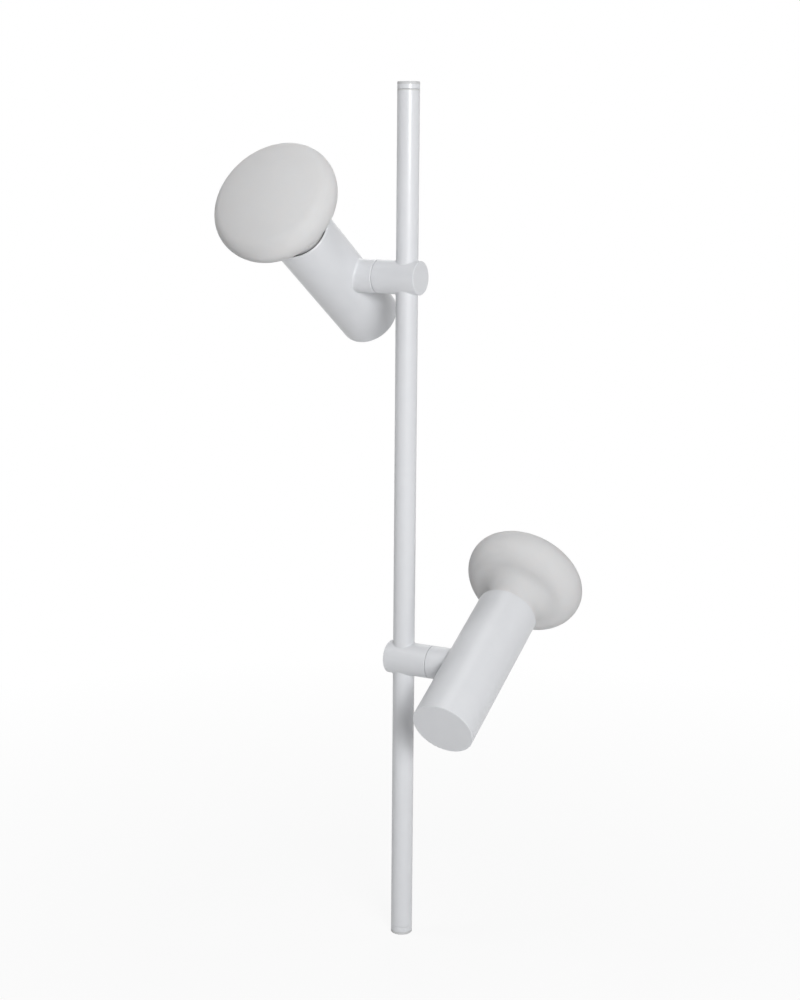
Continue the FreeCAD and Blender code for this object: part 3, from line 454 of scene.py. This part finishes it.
FINISHES = {
    "steel_painted": white_coat,
    "alu_painted": white_coat,
    "opal_glass": opal,
    "rubber": plain_finish("white_rubber", (0.60, 0.605, 0.61), (0.57, 0.575, 0.58), 0.68),
    # The silicone ring in each head's mouth is a grey silicone, and its tone is set far darker as
    # painted shade: it stands for the shadow in the narrow gap between the glass neck and the
    # mouth.
    "silicone": plain_finish("grey_silicone_and_gap_shade", (0.105, 0.105, 0.108), (0.085, 0.085, 0.09), 0.5),
    "nylon": plain_finish("white_nylon", (0.60, 0.605, 0.60), (0.56, 0.565, 0.56), 0.5),
    "steel_plain": plain_finish("zinc_plate", (0.60, 0.61, 0.63), (0.50, 0.51, 0.53), 0.32, 1.0),
    "spring_steel": plain_finish("spring_steel", (0.35, 0.35, 0.37), (0.28, 0.28, 0.30), 0.3, 1.0,
                                 stretch=(1, 1, 4)),
    "alu_plain": plain_finish("turned_aluminium", (0.80, 0.80, 0.81), (0.72, 0.72, 0.73), 0.3, 1.0),
    "foam_rubber": plain_finish("foam_rubber", (0.06, 0.06, 0.06), (0.03, 0.03, 0.03), 0.9,
                                size=1.5 * MM, depth=0.2 * MM),
    "driver_plastic": plain_finish("driver_case", (0.72, 0.72, 0.70), (0.67, 0.67, 0.65), 0.5),
    "board": plain_finish("board_mask", (0.80, 0.81, 0.80), (0.74, 0.75, 0.74), 0.4),
    "phosphor": plain_finish("phosphor_gel", (0.85, 0.62, 0.12), (0.78, 0.54, 0.09), 0.6),
}
for node in nodes.values():
    slot = node.data.materials[0].name.split(".")[0]
    node.data.materials[0] = FINISHES[slot]
for glass in glasses.values():
    glass.data.materials.append(opal)
spring.data.materials.append(FINISHES["spring_steel"])
print(len(FINISHES), "finishes on", len(nodes), "nodes and 3 new pieces")

# %% [markdown]
# ## A white floor and a white room
# Catalogue pictures are cut out on white. Brighter lamps would burn out the lamp itself, so here
# the floor and the room only look white: Light Path tells a shader what kind of ray has arrived,
# and rays from the camera, from a gloss and through glass meet plain white. All other rays meet
# a pale floor that bounces light back, as in a real studio, and a nearly dark room. Near the
# foot a tenth of what the camera sees of the floor stays an ordinary surface, which is enough to
# keep the lamp's faint shadow. Further out that share fades to nothing.

# %% Stage
FLOOR_WIDTH = 14
SHADOW_REACH = 0.3
WHITE_FROM = 1.2
WHITE_AT_FOOT = 0.9
ROOM_FILL = 0.06


def seen_as_white(tree):
    """1 for rays from the camera, from a gloss and through glass, and 0 for the rest."""
    path = tree.nodes.new("ShaderNodeLightPath")
    total = path.outputs["Is Camera Ray"]
    for kind in ("Is Glossy Ray", "Is Transmission Ray"):
        either = tree.nodes.new("ShaderNodeMath")
        either.operation = "MAXIMUM"
        tree.links.new(total, either.inputs[0])
        tree.links.new(path.outputs[kind], either.inputs[1])
        total = either.outputs["Value"]
    return total


def white_floor():
    """A floor that looks white, and still carries a faint shadow near the foot."""
    start_fresh()
    bpy.ops.mesh.primitive_plane_add(size=FLOOR_WIDTH, location=(0, 0, 0))
    floor = bpy.context.object
    floor.name = "floor"
    finish, tree, shader = new_finish("white_floor")
    shader.inputs["Base Color"].default_value = (0.8, 0.8, 0.8, 1)
    shader.inputs["Roughness"].default_value = 0.8
    glow = tree.nodes.new("ShaderNodeEmission")
    glow.inputs["Color"].default_value = (1, 1, 1, 1)
    where = tree.nodes.new("ShaderNodeTexCoord")
    reach = tree.nodes.new("ShaderNodeVectorMath")
    reach.operation = "LENGTH"
    tree.links.new(where.outputs["Object"], reach.inputs[0])
    fade = tree.nodes.new("ShaderNodeMapRange")
    for socket, value in (("From Min", SHADOW_REACH), ("From Max", WHITE_FROM),
                          ("To Min", WHITE_AT_FOOT), ("To Max", 1.0)):
        fade.inputs[socket].default_value = value
    tree.links.new(reach.outputs["Value"], fade.inputs["Value"])
    share = tree.nodes.new("ShaderNodeMath")
    share.operation = "MULTIPLY"
    tree.links.new(seen_as_white(tree), share.inputs[0])
    tree.links.new(fade.outputs["Result"], share.inputs[1])
    mix = tree.nodes.new("ShaderNodeMixShader")
    tree.links.new(share.outputs["Value"], mix.inputs["Fac"])
    tree.links.new(shader.outputs["BSDF"], mix.inputs[1])
    tree.links.new(glow.outputs["Emission"], mix.inputs[2])
    tree.links.new(mix.outputs["Shader"], tree.nodes["Material Output"].inputs["Surface"])
    floor.data.materials.append(finish)


def white_room(fill_strength):
    """A room that looks white, and lights the lamp only by its fill."""
    world = bpy.data.worlds.new("studio")
    bpy.context.scene.world = world
    world.use_nodes = True
    tree = world.node_tree
    fill = tree.nodes["Background"]
    bright = tree.nodes.new("ShaderNodeBackground")
    for background, strength in ((fill, fill_strength), (bright, 1.0)):
        background.inputs["Color"].default_value = (1, 1, 1, 1)
        background.inputs["Strength"].default_value = strength
    mix = tree.nodes.new("ShaderNodeMixShader")
    tree.links.new(seen_as_white(tree), mix.inputs["Fac"])
    tree.links.new(fill.outputs["Background"], mix.inputs[1])
    tree.links.new(bright.outputs["Background"], mix.inputs[2])
    tree.links.new(mix.outputs["Shader"], tree.nodes["World Output"].inputs["Surface"])


white_floor()
white_room(ROOM_FILL)

# %% [markdown]
# ## The lamps
# The picture's light can be read from the lamp. The shadow of the lower head lies on the pole
# just left of it, so the main light stands in front, a little to the right of the camera and
# hardly above it. It is made of two discs side by side. The shaded sides are not black, so
# weaker lights come from the left, from the right and from behind, and one hangs overhead. Each
# disc is placed by its turn from the camera's own direction, its rise and its distance.

# %% Lamps
MIDDLE = Vector((0, 0, 0.55))
camera_turn = math.atan2(camera.matrix_world.translation.y, camera.matrix_world.translation.x)


def soft_lamp(name, turn, rise, away, width, watts):
    """A round lamp aimed at the middle; turn and rise in degrees, away and width in metres."""
    turn, rise = camera_turn + math.radians(turn), math.radians(rise)
    place = MIDDLE + away * Vector((math.cos(turn) * math.cos(rise),
                                    math.sin(turn) * math.cos(rise), math.sin(rise)))
    lamp = bpy.data.objects.new(name, bpy.data.lights.new(name, "AREA"))
    bpy.context.collection.objects.link(lamp)
    lamp.data.shape = "DISK"
    lamp.data.size = width
    lamp.data.energy = watts
    lamp.visible_camera = False
    lamp.location = place
    lamp.rotation_euler = (MIDDLE - place).to_track_quat("-Z", "Y").to_euler()
    print(name, "at", [round(v, 2) for v in place], watts, "watts")


soft_lamp("front_lamp", 12, 15, 2.4, 0.6, 26.0)
soft_lamp("right_lamp", 24, 15, 2.4, 0.6, 17.0)
soft_lamp("side_lamp", 110, 25, 2.4, 0.6, 4.0)
soft_lamp("left_lamp", -90, 40, 2.4, 1.2, 12.5)
soft_lamp("top_lamp", 0, 89, 1.8, 1.2, 7.0)
soft_lamp("back_lamp", 175, 30, 2.6, 1.6, 8.0)

# %% [markdown]
# The Standard view shows a colour as it was written, without a film look.

# %% View and end
bpy.context.scene.view_settings.view_transform = "Standard"
